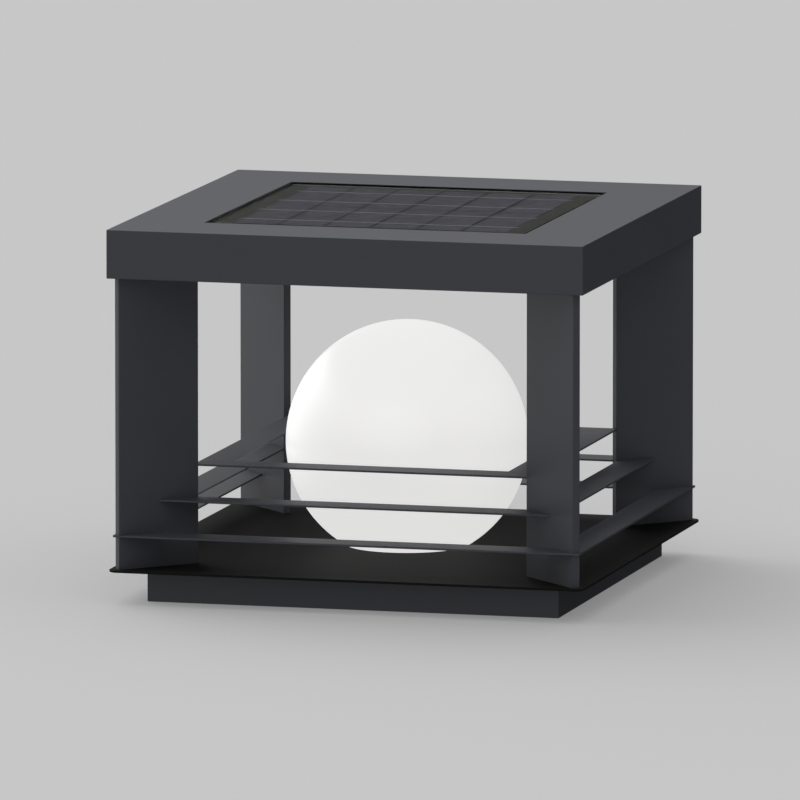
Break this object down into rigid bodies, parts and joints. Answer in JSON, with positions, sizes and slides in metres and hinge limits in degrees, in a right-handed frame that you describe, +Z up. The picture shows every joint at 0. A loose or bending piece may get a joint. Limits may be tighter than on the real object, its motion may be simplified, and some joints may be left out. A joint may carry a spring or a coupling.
{
  "type": "solar pillar lamp",
  "caption": "Square solar pillar lamp: box cap with flush solar panel, flat diagonal posts, stepped fin rings and a white opal globe on a thin base plate.",
  "frame": {"origin": "centre of the plinth's underside, on the lamp's vertical axis", "axes": "+Z up, -Y towards the front, +X to the right"},
  "size_m": [0.3, 0.3, 0.2315],
  "materials": {
    "anthracite_powder_coat": "matt fine-textured powder coat",
    "black_powder_coat": "matt powder coat",
    "opal_globe": "satin opal acrylic",
    "solar_glass": "clear, smooth",
    "silicon_cell": "dark blue-violet, slightly glossy",
    "ribbon": "tinned, satin",
    "panel_laminate": "matt brownish black",
    "zinc_steel": "zinc plated",
    "stainless_steel": "satin",
    "aluminium_part": "satin",
    "rubber_part": "matt",
    "black_plastic": "fine-grained",
    "white_plastic": "satin",
    "circuit_board": "solder-mask green",
    "led_board_white": "solder-mask white",
    "led_phosphor": "yellow phosphor",
    "cable_jacket": "smooth",
    "battery_wrap": "shrink wrap"
  },
  "bodies": {
    "lamp": {"mounting_bracket": "stainless_steel", "plinth_skirt": "anthracite_powder_coat", "plinth_screws": "stainless_steel", "base_plate": "black_powder_coat", "post_bottom_screws": "zinc_steel", "post_top_screws": "zinc_steel", "globe_collar": "white_plastic", "collar_gasket": "rubber_part", "collar_screws": "zinc_steel", "led_heatsink": "aluminium_part", "heatsink_screws": "zinc_steel", "led_board": "led_board_white", "led_screws": "zinc_steel", "led_chips": "led_phosphor", "lead_grommet": "rubber_part", "lead_clips": "white_plastic", "cap_shell": "anthracite_powder_coat", "cap_brackets": "zinc_steel", "cap_screws": "stainless_steel", "soffit_plate": "anthracite_powder_coat", "panel_frame": "anthracite_powder_coat", "panel_gasket": "rubber_part", "solar_glass": "solar_glass", "solar_cells": "silicon_cell", "cell_busbars": "ribbon", "solar_backsheet": "panel_laminate", "junction_box": "black_plastic", "battery_holder": "black_plastic", "holder_screws": "zinc_steel", "battery_cells": "battery_wrap", "controller_board": "circuit_board", "board_standoffs": "white_plastic", "board_screws": "zinc_steel", "controller_parts": "black_plastic", "switch_body": "black_plastic", "switch_nut": "black_plastic", "lamp_lead": "cable_jacket", "switch_lead": "cable_jacket", "solar_lead": "cable_jacket", "battery_lead": "cable_jacket", "front_left_post": "anthracite_powder_coat", "front_right_post": "anthracite_powder_coat", "back_right_post": "anthracite_powder_coat", "back_left_post": "anthracite_powder_coat", "front_low_fin": "anthracite_powder_coat", "right_low_fin": "anthracite_powder_coat", "back_low_fin": "anthracite_powder_coat", "left_low_fin": "anthracite_powder_coat", "front_mid_fin": "anthracite_powder_coat", "right_mid_fin": "anthracite_powder_coat", "back_mid_fin": "anthracite_powder_coat", "left_mid_fin": "anthracite_powder_coat", "front_top_fin": "anthracite_powder_coat", "right_top_fin": "anthracite_powder_coat", "back_top_fin": "anthracite_powder_coat", "left_top_fin": "anthracite_powder_coat"},
    "globe": {"globe": "opal_globe"},
    "switch_button": {"switch_button": "rubber_part"}
  },
  "joints": [
    {"name": "globe_twist", "type": "hinge", "parent": "lamp", "child": "globe", "pos_m": [0, 0, 0.022], "axis": [0, 0, 1], "range_deg": [0, 30]},
    {"name": "switch_press", "type": "slide", "parent": "lamp", "child": "switch_button", "axis": [0, 0, 1], "range_m": [0, 0.0015], "stiffness_N_per_m": 400}
  ]
}
